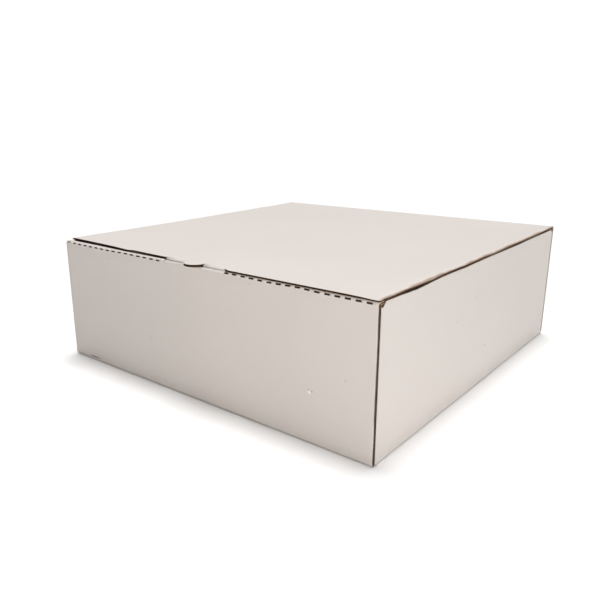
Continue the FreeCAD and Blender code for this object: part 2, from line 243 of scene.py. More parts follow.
class Panel:
    """Part of a folded sheet: a grid of places along a path and beside it.

    `faces(length, beside)` gives how far the outer and the inner face lie off the path, and `keep` marks
    the grid's cells that are there. Flutes lie across the path's length, or beside it.
    """

    def __init__(self, path, plane, length, beside, faces=plain, keep=None, flutes_beside=False,
                 mirror=(1, 1, 1)):
        self.path, self.plane, self.mirror = path, plane, np.array(mirror)
        self.length, self.beside = np.broadcast_arrays(length, beside)
        self.outer, self.inner = faces(self.length, self.beside)
        rows, columns = self.length.shape
        self.keep = np.ones((rows - 1, columns - 1), bool) if keep is None else keep
        self.across = (self.beside if flutes_beside else self.length).ravel()

    def at(self, off):
        """Return the points that lie `off` outside the path."""
        points = in_space(self.plane, *on_path(self.path, self.length, off), self.beside)
        return (points * self.mirror).reshape(-1, 3)

    def cells(self):
        """Return the kept cells as quads of point numbers, turned so that the outer face looks out."""
        rows, columns = self.length.shape
        number = np.arange(rows * columns).reshape(rows, columns)
        corners = (number[:-1, :-1], number[:-1, 1:], number[1:, 1:], number[1:, :-1])
        quads = np.stack(corners, axis=-1)[self.keep]
        outer, inner = self.at(self.outer), self.at(self.inner)
        corner = outer[quads]
        turn = np.cross(corner[:, 2] - corner[:, 0], corner[:, 3] - corner[:, 1])
        outwards = (turn * (outer - inner)[quads[:, 0]]).sum() > 0
        return quads if outwards else quads[:, ::-1]


class Board:
    """Gathers the thin sheets of one piece of folded board, and makes its mesh."""

    def __init__(self):
        self.points, self.across, self.quads, self.finish = [], [], [], []
        self.count = 0

    def sheet(self, top, bottom, quads, across, above, below):
        """Close a thin sheet: its top, its bottom turned over, and a rim along every free edge.

        A free edge is one that no neighbour runs the other way.
        """
        size = len(top)
        edges = np.concatenate([quads[:, [side, (side + 1) % 4]] for side in range(4)])
        keys = edges[:, 0] * size + edges[:, 1]
        free = edges[~np.isin(keys, edges[:, 1] * size + edges[:, 0])]
        rim = np.column_stack([free[:, 1], free[:, 0], free[:, 0] + size, free[:, 1] + size])
        for more, finish in ((quads, above), (quads[:, ::-1] + size, below), (rim, CUT)):
            self.quads.append(more + self.count)
            self.finish.append(np.full(len(more), finish))
        self.points += [top, bottom]
        self.across += [across, across]
        self.count += 2 * size

    def liners(self, *panels):
        """Add the outer and the inner liner of panels that are joined where their middles meet."""
        starts = np.cumsum([0] + [panel.length.size for panel in panels[:-1]])
        quads = np.concatenate([panel.cells() + start for panel, start in zip(panels, starts)])
        used = np.unique(quads)
        middle = np.concatenate([panel.at(0 * panel.length) for panel in panels])
        _, first, place = np.unique(
            np.round(middle[used], 3), axis=0, return_index=True, return_inverse=True
        )
        joined = np.zeros(len(middle), int)
        joined[used] = place.ravel()
        quads = joined[quads]
        chosen = used[first]
        across = np.concatenate([panel.across for panel in panels])[chosen]

        def layer(offset):
            """Return the points at an offset of every panel, each shared one once."""
            return np.concatenate([panel.at(offset(panel)) for panel in panels])[chosen]

        outside, under = layer(lambda panel: panel.outer), layer(lambda panel: panel.outer - LINER)
        over, inside = layer(lambda panel: panel.inner + LINER), layer(lambda panel: panel.inner)
        self.sheet(outside, under, quads, across, WHITE, CORE)
        self.sheet(over, inside, quads, across, CORE, KRAFT)

    def fluting(self, panel):
        """Add the fluted middle: a sheet that swings by WAVE * sin(2 pi * across / FLUTE)."""
        share = (panel.outer - panel.inner) / BOARD
        swing = WAVE * np.sin(2 * np.pi * panel.across.reshape(panel.length.shape) / FLUTE)
        centre = (panel.outer + panel.inner) / 2 + share * swing
        thick = share * MEDIUM / 2
        top, bottom = panel.at(centre + thick), panel.at(centre - thick)
        self.sheet(top, bottom, panel.cells(), panel.across, CORE, CORE)

    def make(self, name):
        """Make the object, in metres. Its cut edges are flat and crisp, and everything else is smooth."""
        used, quads = np.unique(np.concatenate(self.quads), return_inverse=True)
        quads = quads.reshape(-1, 4)
        points = np.concatenate(self.points)[used] * MM
        finish = np.concatenate(self.finish)
        mesh = bpy.data.meshes.new(name)
        mesh.vertices.add(len(points))
        mesh.vertices.foreach_set("co", points.astype(np.float32).ravel())
        mesh.loops.add(quads.size)
        mesh.loops.foreach_set("vertex_index", quads.astype(np.int32).ravel())
        mesh.polygons.add(len(quads))
        mesh.polygons.foreach_set("loop_start", np.arange(len(quads), dtype=np.int32) * 4)
        mesh.update(calc_edges=True)
        for material in finishes:
            mesh.materials.append(material)
        mesh.polygons.foreach_set("material_index", finish.astype(np.int32))
        mesh.polygons.foreach_set("use_smooth", finish != CUT)
        across = mesh.attributes.new("across_flutes", "FLOAT", "POINT")
        across.data.foreach_set("value", np.concatenate(self.across)[used].astype(np.float32))
        mesh.validate()
        piece = bpy.data.objects.new(name, mesh)
        bpy.context.scene.collection.objects.link(piece)
        print(f"{name}: {2 * len(quads)} triangles")
        return piece


# ---------------------------------------------------------------------------------------------------
# Finishes


class Finish:
    """A material's nodes, with short calls that add a node and return its output."""

    def __init__(self, name, roughness, specular):
        self.material = bpy.data.materials.new(name)
        self.material.use_nodes = True
        self.tree = self.material.node_tree
        self.shader = self.tree.nodes["Principled BSDF"]
        self.shader.inputs["Roughness"].default_value = roughness
        self.shader.inputs["Specular IOR Level"].default_value = specular
        self.place = self.node("ShaderNodeTexCoord").outputs["Object"]
        self.x, self.y, self.z = self.node("ShaderNodeSeparateXYZ", self.place).outputs
        self.beside = self.math("ABSOLUTE", self.x)

    def node(self, kind, *values, **settings):
        """Add a node, and link or set its first inputs."""
        node = self.tree.nodes.new(kind)
        for key, value in settings.items():
            setattr(node, key, value)
        for socket, value in zip(node.inputs, values):
            self.put(value, socket)
        return node

    def put(self, value, socket):
        """Link an output to a socket, or set the socket to a plain value."""
        if isinstance(value, bpy.types.NodeSocket):
            self.tree.links.new(value, socket)
        elif value is not None:
            socket.default_value = value

    def noise(self, grains, detail=3.0, roughness=0.5, stretch=(1, 1, 1)):
        """Return noise with so many grains to the metre, and more along a stretched axis."""
        place = self.node("ShaderNodeMapping", self.place, None, None, stretch).outputs["Vector"]
        node = self.node("ShaderNodeTexNoise")
        for name, value in (
            ("Vector", place), ("Scale", grains), ("Detail", detail), ("Roughness", roughness),
        ):
            self.put(value, node.inputs[name])
        return node.outputs["Fac"]

    def math(self, operation, first, second=0.0):
        """Do one sum with two values."""
        return self.node("ShaderNodeMath", first, second, operation=operation).outputs["Value"]

    def both(self, first, second):
        """Return the product of two shares."""
        return self.math("MULTIPLY", first, second)

    def wander(self, noise, width):
        """Turn a noise into a shift that wanders over a width, in millimetres."""
        return self.math("MULTIPLY", self.math("SUBTRACT", noise, 0.5), width * MM)

    def spread(self, value, low, high, to_low=0.0, to_high=1.0):
        """Map a range of values to another with a smooth step, and hold its ends beyond them."""
        node = self.node("ShaderNodeMapRange", value, low, high, to_low, to_high,
                         interpolation_type="SMOOTHSTEP")
        return node.outputs["Result"]

    def over(self, value, low, high, to_low=0.0, to_high=1.0):
        """Spread a coordinate between two places, given in millimetres."""
        return self.spread(value, low * MM, high * MM, to_low, to_high)

    def mix(self, share, first, second):
        """Mix two colours."""
        node = self.node("ShaderNodeMix", share, data_type="RGBA", clamp_factor=True)
        self.put(first, node.inputs[6])
        self.put(second, node.inputs[7])
        return node.outputs[2]

    def washboard(self):
        """Return how the flutes print through a liner: sin(2 pi * across / FLUTE)."""
        across = self.node("ShaderNodeAttribute", attribute_name="across_flutes").outputs["Fac"]
        return self.math("SINE", self.math("MULTIPLY", across, 2 * np.pi / FLUTE))

    def near(self, spot, reach):
        """Return 1 at a spot, falling to 0 at its reach along each axis, in millimetres."""
        scale = [1 / (size * MM) for size in reach]
        shift = [-value / size for value, size in zip(spot, reach)]
        place = self.node("ShaderNodeMapping", self.place, shift, None, scale).outputs["Vector"]
        length = self.node("ShaderNodeVectorMath", place, operation="LENGTH").outputs["Value"]
        return self.spread(length, 0.25, 1.0, 1.0, 0.0)

    def bump(self, height, depth, under=None):
        """Add a bump so many millimetres deep, over another one."""
        node = self.node("ShaderNodeBump")
        self.put(depth * MM, node.inputs["Distance"])
        self.put(height, node.inputs["Height"])
        self.put(under, node.inputs["Normal"])
        return node.outputs["Normal"]

    def finished(self, colour, normal):
        """Give the shader its colour and normal, and return the material."""
        self.put(colour, self.shader.inputs["Base Color"])
        self.put(normal, self.shader.inputs["Normal"])
        return self.material


# Colours of the board
BLEACHED = ((0.695, 0.647, 0.607, 1), (0.715, 0.663, 0.622, 1))
PALE_FIBRE = (0.61, 0.55, 0.49, 1)
BROWN = ((0.43, 0.285, 0.165, 1), (0.50, 0.345, 0.21, 1))
BROWN_FIBRE = (0.335, 0.21, 0.115, 1)
# Near-black kraft: painted shade for the flutes' hollows
SHADED_CORE_BROWN = ((0.07, 0.038, 0.024, 1), (0.12, 0.068, 0.042, 1))
PALE_END = (0.78, 0.74, 0.70, 1)
TAN = ((0.42, 0.29, 0.19, 1), (0.24, 0.145, 0.085, 1))
TAN_FIBRE = (0.52, 0.40, 0.29, 1)
SHADED_BEADS = ((0.045, 0.022, 0.015, 1), (0.16, 0.08, 0.05, 1))
SHADED_BEAD_FOOT = (0.035, 0.018, 0.014, 1)
WORN = ((0.17, 0.105, 0.075, 1), (0.42, 0.31, 0.23, 1))
LID_EDGE_LIT_TOP = (0.50, 0.41, 0.34, 1)
REAR_END = (0.69, 0.64, 0.60, 1)
NOTCH_LIT_TAN = (0.62, 0.46, 0.30, 1)
FRONT_EDGE_SHADE = (0.035, 0.02, 0.014, 1)

# Stains, painted shade and painted highlights on the white liner
STAIN_AND_SHADE_EDGE = (0.34, 0.235, 0.175, 1)
CORNER_SHADE_PAINT = (0.06, 0.03, 0.022, 1)
SMUDGE = (0.30, 0.25, 0.21, 1)
NICK_SHADE = (0.28, 0.22, 0.18, 1)
NICK_HIGHLIGHT = (0.97, 0.95, 0.92, 1)
SEAM_SHADE = (0.06, 0.045, 0.04, 1)
CREASE_SHADE = (0.12, 0.09, 0.07, 1)
CREASE_HIGHLIGHT = (0.90, 0.87, 0.84, 1)

# A spot is its x, y, z and reach. A painted mark is its place, reach along each axis, share and colour:
# painted highlights and painted shade at the nick, the tongue's seam and the bottom-left crease.
SPOTS = (
    (133.0, FRONT, 50.6, 1.0), (-94.2, FRONT, 94.7, 0.9),
    (-47.0, FRONT, 37.9, 0.9), (57.5, FRONT, 98.4, 0.8),
    (SIDE, -47.9, 63.8, 1.3), (SIDE, 8.9, 30.5, 1.6), (SIDE, -18.6, 74.7, 1.3),
)
SHADE_AND_HIGHLIGHT_MARKS = (
    ((106.4, FRONT, 35.9), (2.4, 0.8, 2.2), 0.95, NICK_HIGHLIGHT),
    ((105.7, FRONT, 37.2), (1.2, 0.8, 0.8), 0.8, NICK_SHADE),
    ((108.0, FRONT, 36.5), (1.3, 0.8, 1.3), 0.8, NICK_SHADE),
    ((TONGUE_LEFT - 0.6, FRONT + 1.4, 102.6), (0.9, 3.0, 1.4), 0.95, SEAM_SHADE),
    ((-126.0, FRONT, 2.9), (12.0, 3.0, 0.8), 0.95, CREASE_SHADE),
    ((-125.0, FRONT, 1.0), (11.0, 3.0, 0.9), 0.7, CREASE_HIGHLIGHT),
)


def white_liner():
    """Bleached top liner: matte, with fibre clouds and the flutes' faint washboard.

    It has a few small marks, lid side edges tinted tan as a stain and painted shade, painted highlights and
    painted shade at a nick, the tongue's seam and a crease, and painted near-black shade along the front
    right corner.
    """
    finish = Finish("white_liner", 0.62, 0.3)
    clouds = finish.noise(9.0, 3.0, 0.55)
    fibres = finish.noise(900.0, 4.0, 0.6)
    colour = finish.mix(finish.spread(clouds, 0.3, 0.7), *BLEACHED)
    colour = finish.mix(finish.spread(fibres, 0.35, 0.75, 0.0, 0.14), colour, PALE_FIBRE)

    edge_wander = finish.wander(finish.noise(55.0, 3.0, 0.6), 4.0)
    at_edge = finish.math("ADD", finish.beside, edge_wander)
    at_edge = finish.over(at_edge, SIDE - 2.2, SIDE - 0.3, 0.0, 0.92)
    on_lid = finish.over(finish.z, LID_TOP - 1.75, LID_TOP - 1.65)
    # Tan along the lid's side edges: partly a stain, partly painted shade where the edge curls down.
    colour = finish.mix(finish.both(at_edge, on_lid), colour, STAIN_AND_SHADE_EDGE)

    for *spot, reach in SPOTS:
        share = finish.both(finish.near(spot, (reach, reach, reach)), 0.4)
        colour = finish.mix(share, colour, SMUDGE)
    # Painted highlights and painted shade: the nick's light centre and dark sides, the dark seam at the
    # tongue, and the crease's dark line with its light lip.
    for spot, reach, share, tone in SHADE_AND_HIGHLIGHT_MARKS:
        colour = finish.mix(finish.both(finish.near(spot, reach), share), colour, tone)

    # Painted shade: a near-black band on the front face along the front right corner, widening the dark
    # corner line.
    corner = finish.math("ADD", finish.x, finish.both(edge_wander, 0.2))
    corner = finish.over(corner, SIDE - 0.9, SIDE - 0.4, 0.0, 0.95)
    on_front = finish.over(finish.y, FRONT + 0.2, FRONT + 0.5, 1.0, 0.0)
    colour = finish.mix(finish.both(corner, on_front), colour, CORNER_SHADE_PAINT)
    normal = finish.bump(finish.washboard(), 0.006)
    return finish.finished(colour, finish.bump(fibres, 0.01, normal))


def kraft_liner():
    """Brown inner liner: fibres in two tones, and flutes that print through a little more."""
    finish = Finish("kraft_liner", 0.72, 0.25)
    clouds = finish.noise(14.0, 4.0, 0.6)
    fibres = finish.noise(420.0, 5.0, 0.65, stretch=(0.35, 1, 1))
    colour = finish.mix(finish.spread(clouds, 0.3, 0.7), *BROWN)
    colour = finish.mix(finish.spread(fibres, 0.3, 0.72, 0.0, 0.5), colour, BROWN_FIBRE)
    normal = finish.bump(finish.washboard(), 0.02)
    return finish.finished(colour, finish.bump(fibres, 0.03, normal))


def kraft_core():
    """Fluted middle and the liners' glued faces: rougher kraft painted near-black as shade inside the
    flutes, pale at the back wall's ends.
    """
    finish = Finish("kraft_core", 0.85, 0.15)
    fibres = finish.noise(500.0, 4.0, 0.6)
    # Painted shade: the core is near-black brown, standing in for the shade inside the flutes.
    colour = finish.mix(finish.spread(fibres, 0.3, 0.7), *SHADED_CORE_BROWN)
    rear = finish.over(finish.y, REAR - 2.4, REAR - 1.8)
    outer = finish.over(finish.beside, SIDE - 6.0, SIDE - 5.0)
    colour = finish.mix(finish.both(rear, outer), colour, PALE_END)
    return finish.finished(colour, finish.bump(fibres, 0.04))


def side_ends(finish, soil):
    """Return the colour of the raw ends on the box's sides.

    The front panel's ends are beaded dark brown, partly the cut flutes' own pattern and partly painted
    shade of their hollows and the corner's gap, darkest low down, and the side walls' and the lid's edges
    are worn in patches. The lid's edges are painted paler towards their top as painted light, the back
    wall's ends are nearly white, and the notches' corners are tan, painted lighter as painted light against
    the shade in the notch.
    """
    beads = finish.noise(300.0, 2.0, 0.6, stretch=(0.1, 0.1, 1))
    # Painted shade: the front panel's ends are near-black beads, partly the cut flutes' pattern, partly the
    # shade of their hollows and the corner gap; darker still low down.
    colour = finish.mix(finish.spread(beads, 0.35, 0.65), *SHADED_BEADS)
    colour = finish.mix(finish.over(finish.z, 34, 44, 0.8, 0.0), colour, SHADED_BEAD_FOOT)
    patches = finish.spread(finish.noise(28.0, 2.0, 0.5), 0.42, 0.58)
    worn = finish.mix(patches, *WORN)
    colour = finish.mix(finish.over(finish.y, FRONT + 1.8, FRONT + 2.4), colour, worn)

    level = finish.math("ADD", finish.z, finish.wander(soil, 1.6))
    # Painted light: the lid's cut edges turn paler towards their top.
    lit_top = finish.over(level, LID_TOP - BOARD + 0.35, LID_TOP - 0.25)
    colour = finish.mix(lit_top, colour, LID_EDGE_LIT_TOP)
    colour = finish.mix(finish.over(finish.y, REAR - 3.0, REAR - 2.0), colour, REAR_END)

    notch_foot = SIDE_TOP - NOTCH_DROP
    above_foot = finish.over(finish.z, notch_foot - 1.0, notch_foot)
    on_tray = finish.over(finish.z, WALL_TOP, WALL_TOP + 0.1, 1.0, 0.0)
    behind = finish.over(finish.y, FRONT + 0.9, FRONT + 1.8)
    # Painted light: the notches' raw tan is painted lighter than the other cut edges, against the shade in
    # the notch.
    in_notch = finish.both(finish.both(above_foot, on_tray), behind)
    return finish.mix(in_notch, colour, NOTCH_LIT_TAN)


def cut_edge():
    """Cut ends of the liners and the middle: tan, with the sides' colours and painted light and shade from
    side_ends, and painted near-black shade along the top front.
    """
    finish = Finish("cut_edge", 0.88, 0.15)
    soil = finish.noise(60.0, 4.0, 0.65)
    fibres = finish.noise(1500.0, 3.0, 0.6)
    colour = finish.mix(finish.spread(soil, 0.3, 0.7), *TAN)
    colour = finish.mix(finish.spread(fibres, 0.35, 0.7, 0.0, 0.6), colour, TAN_FIBRE)
    outer = finish.over(finish.beside, SIDE - 0.8, SIDE - 0.3)
    colour = finish.mix(outer, colour, side_ends(finish, soil))
    # Painted shade: the cut edges high along the top front, the lid's front edge among them, are
    # near-black.
    high = finish.over(finish.z, FOLD_HEIGHT - 0.3, FOLD_HEIGHT + 0.4)
    front = finish.over(finish.y, FRONT + 7.5, FRONT + 9.0, 1.0, 0.0)
    inward = finish.math("SUBTRACT", 1.0, outer)
    shaded_top_front = finish.both(finish.both(high, front), inward)
    colour = finish.mix(shaded_top_front, colour, FRONT_EDGE_SHADE)
    return finish.finished(colour, finish.bump(fibres, 0.06))


finishes = [white_liner(), kraft_liner(), kraft_core(), cut_edge()]

# ---------------------------------------------------------------------------------------------------
# Floor, side walls and corner flaps

WALL_RUN = SIDE_TOP - FOLD_OUTER
CHANNEL = fold_path(
    (SIDE - HALF, SIDE_TOP), -RIGHT_ANGLE,
    ("run", WALL_RUN), ("fold", RIGHT_ANGLE), ("run", 2 * (SIDE - FOLD_OUTER)),
    ("fold", RIGHT_ANGLE), ("run", WALL_RUN),
)
FLOOR_START, LEFT_WALL = CHANNEL[2, 0], CHANNEL[4, 0]
CHANNEL_END = LEFT_WALL + WALL_RUN
SLOT_FRONT = LINING_BACK - BOARD - LAYER_GAP
SLOT_BACK = LINING_BACK + LAYER_GAP
LOCK_SLOTS = both_ways(LOCK_INNER - LAYER_GAP, LOCK_OUTER + LAYER_GAP)
WORN_AT = (-146, -137, -113, -96, -78, -58, -40, -5, 30, 62, 95, 125, 146)
WORN_BY = (0.1, 0.2, 1.1, 0.6, 0.05, 0.25, 0.55, 0.25, 0.45, 0.65, 0.25, 0.2, 0.15)


def wall_height(y, right):
    """Height of a side wall's top: notched at both ends, and worn down unevenly between them."""
    notch = NOTCH_DROP * (1 - np.clip((CORNER_LINE - np.abs(y)) / NOTCH_RUN, 0, 1))
    left_wear = 0.35 + 0.25 * drift(y, 0 * y, 8, 60.0)
    worn = np.where(right, np.interp(y, WORN_AT, WORN_BY), left_wear) + 0.1 * drift(y, 0 * y, 5, 7.0)
    between = ease(CORNER_LINE - NOTCH_RUN - np.abs(y), 0.0, 6.0)
    return SIDE_TOP - notch - between * np.clip(worn, 0, 2)


def channel_grid(rows, columns):
    """Return lengths, places beside and kept cells of the strip that is floor and side walls.

    The strip runs down the right wall, across the floor and up the left wall. A wall's rows are drawn
    down in proportion, so that the last one follows its worn top.
    """
    length, y = np.meshgrid(rows, columns, indexing="ij")
    right, left = length <= WALL_RUN, length >= LEFT_WALL
    share = (wall_height(y, right) - FOLD_OUTER) / WALL_RUN
    length = np.where(right, WALL_RUN - (WALL_RUN - length) * share, length)
    length = np.where(left, LEFT_WALL + (length - LEFT_WALL) * share, length)
    row, column = middles(rows, columns)
    on_floor = (row > FLOOR_START) & (row < CHANNEL[3, 0])
    x = np.abs(SIDE - FOLD_OUTER + FLOOR_START - row)
    lock_slot = on_floor & (x > LOCK_INNER - LAYER_GAP) & (x < LOCK_OUTER + LAYER_GAP)
    lock_slot = lock_slot & (column > SLOT_FRONT) & (column < SLOT_BACK)
    return length, y, (on_floor | (np.abs(column) < CORNER_LINE)) & ~lock_slot


def channel_faces(length, y):
    """Side walls draw in a little in their middles, by up to 0.42 mm, and are pressed at their tops.

    The pressing is 0.1 * exp(-(from_top / 1.2)^2) on each face.
    """
    from_top = np.minimum(length, CHANNEL_END - length)
    middle = ease(from_top, 0, 35) * ease(WALL_RUN - from_top, 0, 35) * ease(CORNER_LINE - np.abs(y), 0, 50)
    hollow = middle * (0.22 + 0.2 * drift(length, y, 21, 130.0))
    pressed = 0.1 * np.exp(-((from_top / 1.2) ** 2)) * (from_top < WALL_RUN)
    return HALF - hollow - pressed, -HALF - hollow + pressed


def make_floor_and_sides():
    """Make the floor, the side walls and the corner flaps as one folded sheet.

    A flap's face stands clear of the floor, but its bend comes down nearly to the box's foot.
    """
    board = Board()
    flap_foot = (FLAP_FOOT - FOLD_OUTER) * WALL_RUN / (FLAP_TOP - FOLD_OUTER)
    wall_rows = np.array([0.0, 0.6, 1.4, 3.0, 8.0, WALL_RUN - flap_foot])
    lock_rows = FLOOR_START + SIDE - FOLD_OUTER - LOCK_SLOTS
    rows = lines(16.0, bend_lines(CHANNEL), wall_rows, CHANNEL_END - wall_rows, lock_rows)
    edges = both_ways(FRONT_CREASE, CORNER_LINE, CORNER_LINE - NOTCH_RUN)
    columns = lines(2.6, edges, SLOT_FRONT, SLOT_BACK)
    length, y, keep = channel_grid(rows, columns)
    channel = Panel(CHANNEL, "xz", length, y, channel_faces, keep, flutes_beside=True)

    # A flap's path runs along its face and round the corner to the side wall.
    flap_path = fold_path(
        (FLAP_END, REAR - NEXT_LAYER - HALF), 0.0,
        ("run", SIDE - FOLD_OUTER - FLAP_END), ("fold", RIGHT_ANGLE),
    )
    flap_length = flap_path[-1, 0] + FOLD_LENGTH
    wall_share = (WALL_RUN - rows[rows <= WALL_RUN - flap_foot + 1e-4]) / WALL_RUN
    heights = np.sort(FOLD_OUTER + wall_share * (FLAP_TOP - FOLD_OUTER))
    heights = np.append(FLAP_BEND_FOOT, heights)
    flap_rows = lines(14.0, bend_lines(flap_path), 0.7, flap_length)
    mirrors = [(x, y, 1) for x in (1, -1) for y in (1, -1)]
    along, height = middles(flap_rows, heights)
    there = (height > FLAP_FOOT) | (along > flap_path[-1, 0])
    flaps = [Panel(flap_path, "xy", flap_rows[:, None], heights, keep=there, mirror=mirror)
             for mirror in mirrors]
    board.liners(channel, *flaps)

    fine = lines(FLUTE_STEP, edges, SLOT_FRONT, SLOT_BACK)
    depths = np.array([0.0, 0.8, 5.0, 25.0, 60.0])
    sparse = lines(60.0, bend_lines(CHANNEL, 4), depths, CHANNEL_END - depths, lock_rows)
    length, y, keep = channel_grid(sparse, fine)
    board.fluting(Panel(CHANNEL, "xz", length, y, channel_faces, keep, flutes_beside=True))
    fine = lines(FLUTE_STEP, bend_lines(flap_path, 1), flap_length)
    for mirror in mirrors:
        levels = np.linspace(FLAP_FOOT, FLAP_TOP, 4)
        board.fluting(Panel(flap_path, "xy", fine[:, None], levels, mirror=mirror))
    return board.make("floor_and_sides")


# ---------------------------------------------------------------------------------------------------
# Rolled front wall

FRONT_PATH = fold_path(
    (FRONT_CREASE, HALF), np.pi,
    ("fold", RIGHT_ANGLE), ("run", FOLD_HEIGHT - FOLD_OUTER), ("fold", RIGHT_ANGLE),
    ("run", ROLL_RUN), ("fold", RIGHT_ANGLE), ("run", FOLD_HEIGHT - LINING_FOOT),
)
PANEL_START, ROLL_START, TOP_START, TURN_START, LINING_START = FRONT_PATH[1:, 0]
LINING_END = LINING_START + FOLD_HEIGHT - LINING_FOOT
LOCK_END = LINING_END + LINING_FOOT - LOCK_TIP
CUT_LINE = ROLL_START + 0.3 * FOLD_LENGTH
SLOT_START = ROLL_START + FOLD_MID * SLOT_ANGLE
RELIEF_END = PANEL_START - FOLD_LENGTH / 2
NICK = (106.7, 36.4)

# How far the roll's top is pressed down, and how the row of cuts wanders, along the wall
SUNK_AT = (-154, -145, TONGUE_LEFT - 4.0, TONGUE_LEFT, TONGUE_RIGHT, TONGUE_RIGHT + 4.0, 154)
SUNK_BY = (0.0, 0.45, 0.45, 0.0, 0.0, 0.2, 0.0)
SUNK_STEPS = (0.6, 1.2, 1.8)
DRIFT_AT = (-150, -135, -100, -73, -34, 43, 60, 73, 97, 112, 148)
DRIFT_BY = (0.15, -0.05, -0.25, -0.05, -0.2, 0.25, 0.05, -0.1, 0.25, -0.1, -0.25)
GAPE_AT = (-34, 43)
GAPE_BY = (0.1, 0.12)


def cut_ends():
    """Return the ends of the perforation cuts, none quite alike: 16 left of the slot, 16 from its end."""
    rng = np.random.default_rng(31)
    bulge = 0.8 * np.sin(np.pi * np.linspace(0, 1, 15))
    middle = np.concatenate([np.linspace(*CUTS_LEFT, 16), [LONE_CUT], np.linspace(*CUTS_RIGHT, 15) + bulge])
    half = CUT_LENGTH / 2 + rng.uniform(-0.2, 0.2, (2, len(middle)))
    return middle - half[0], middle + half[1]


def along_cuts(rows, x):
    """Let the cuts wander across their fold, and gape more to the right.

    A row moves by share * (wander + side * gape). The side goes from -1 at a cut's lower edge to 1 at its
    upper edge, and the share fades to 0 at the fold's ends.
    """
    share = ease(rows, ROLL_START - 2.0, CUT_LINE - 0.3) * ease(TOP_START - rows, 0.0, 0.9)
    side = np.clip((rows - CUT_LINE) / (CUT_GAPE / 2), -1, 1)
    wander = np.interp(x, DRIFT_AT, DRIFT_BY)
    return rows + share * (wander + side * np.interp(x, GAPE_AT, GAPE_BY))


def front_faces(length, x):
    """The outer panel has soft waves and a nick with a small lip, and the roll's top is pressed down."""
    height = length - PANEL_START + FOLD_OUTER
    panel = ease(height, FOLD_OUTER, 30) * ease(FOLD_HEIGHT - height, 0, 20) * ease(SIDE - np.abs(x), 0, 30)
    wavy = panel * (0.2 + 0.18 * drift(length, x, 44, 140.0))
    lip = dent(x, height, (NICK[0], NICK[1] - 1.2), (1.4, 0.6))
    nick = 0.45 * dent(x, height, NICK, (1.3, 0.7)) - 0.12 * lip
    on_top = ease(length, TOP_START, TOP_START + SUNK_STEPS[-1])
    on_top = on_top * ease(TURN_START + FOLD_LENGTH - length, 0.0, 1.2)
    sunk = on_top * np.interp(x, SUNK_AT, SUNK_BY)
    return HALF - wavy - nick - sunk, -HALF - wavy - 0.5 * nick - sunk


def front_panel(rows, columns):
    """Return the front wall's panel, without its cuts, slot and reliefs, and with a narrower lining."""
    row, x = middles(rows, columns)
    first, last = cut_ends()
    in_cut = ((x[..., None] > first) & (x[..., None] < last)).any(-1)
    away = in_cut & (np.abs(row - CUT_LINE) < CUT_GAPE / 2)
    away = away | (np.abs(x - TONGUE_SHIFT) < SLOT_HALF) & (row > SLOT_START) & (row < TURN_START)
    away = away | (np.abs(x) > SIDE - FOLD_OUTER) & (row < RELIEF_END)
    away = away | (np.abs(x) > LINING_SIDE) & (row > TURN_START)
    locks = (np.abs(x) > LOCK_INNER) & (np.abs(x) < LOCK_OUTER)
    away = away | (row > LINING_END) & ~locks
    length = along_cuts(rows[:, None], columns[None, :])
    return Panel(FRONT_PATH, "yz", length, columns[None, :], front_faces, ~away)


def make_front_wall():
    """Make the outer front panel, the roll over its top, the lining and the lock tabs."""
    board = Board()
    ends = both_ways(SIDE, SIDE - FOLD_OUTER, LINING_SIDE, LOCK_INNER, LOCK_OUTER)
    ends = np.append(ends, TONGUE_SHIFT + both_ways(SLOT_HALF))
    around_nick = np.linspace(-3.0, 3.0, 9)
    cut_rows = CUT_LINE + CUT_GAPE / 2 * np.array([-1, 1])
    top_rows = TOP_START + np.array(SUNK_STEPS)
    nick_rows = PANEL_START - FOLD_OUTER + NICK[1] + around_nick
    steps = (cut_rows, SLOT_START, top_rows, LINING_END)
    rows = lines(12.0, bend_lines(FRONT_PATH), *steps, LOCK_END, nick_rows)
    columns = lines(8.0, ends, *cut_ends(), NICK[0] + around_nick)
    board.liners(front_panel(rows, columns))

    stops = np.concatenate([FRONT_PATH[:, 0], *(np.ravel(step) for step in steps)])
    for first, last, places in (
        (0.0, ROLL_START, NICK[0] + around_nick),
        (ROLL_START, TOP_START, cut_ends()),
        (TOP_START, LOCK_END, ()),
    ):
        fine = lines(FLUTE_STEP, stops[(stops > first) & (stops < last)], first, last)
        board.fluting(front_panel(fine, lines(40.0, ends, places)))
    return board.make("front_wall")


# ---------------------------------------------------------------------------------------------------
# Back wall and the lid's fold

BACK_TOP = LID_TOP - FOLD_OUTER
BACK_PATH = fold_path(
    (REAR - HALF, BACK_TOP), -RIGHT_ANGLE, ("run", BACK_TOP - FOLD_OUTER), ("fold", RIGHT_ANGLE),
)
LID_FOLD_PATH = fold_path((LID_CREASE, LID_MIDDLE), 0.0, ("fold", RIGHT_ANGLE))


def back_faces(length, x):
    """The back wall has soft waves in its middle."""
    height = BACK_TOP - length
    middle = ease(height, FOLD_OUTER, 30) * ease(BACK_TOP - height, 0, 30) * ease(SIDE - np.abs(x), 0, 40)
    wavy = middle * (0.2 + 0.18 * drift(length, x, 52, 150.0))
    return HALF - wavy, -HALF - wavy


def make_back_wall():
    """Make the back wall, with its fold to the floor between the corner reliefs."""
    board = Board()
    fold_start = BACK_PATH[1, 0]
    end = fold_start + FOLD_LENGTH
    ends = both_ways(SIDE, SIDE - FOLD_OUTER)
    for rows, columns, add in (
        (lines(12.0, bend_lines(BACK_PATH), end), lines(12.0, ends), board.liners),
        (lines(FLUTE_STEP, 0.0, fold_start, end), lines(45.0, ends), board.fluting),
    ):
        row, x = middles(rows, columns)
        keep = (row < fold_start) | (np.abs(x) < SIDE - FOLD_OUTER)
        add(Panel(BACK_PATH, "yz", rows[:, None], columns[None, :], back_faces, keep))
    return board.make("back_wall")


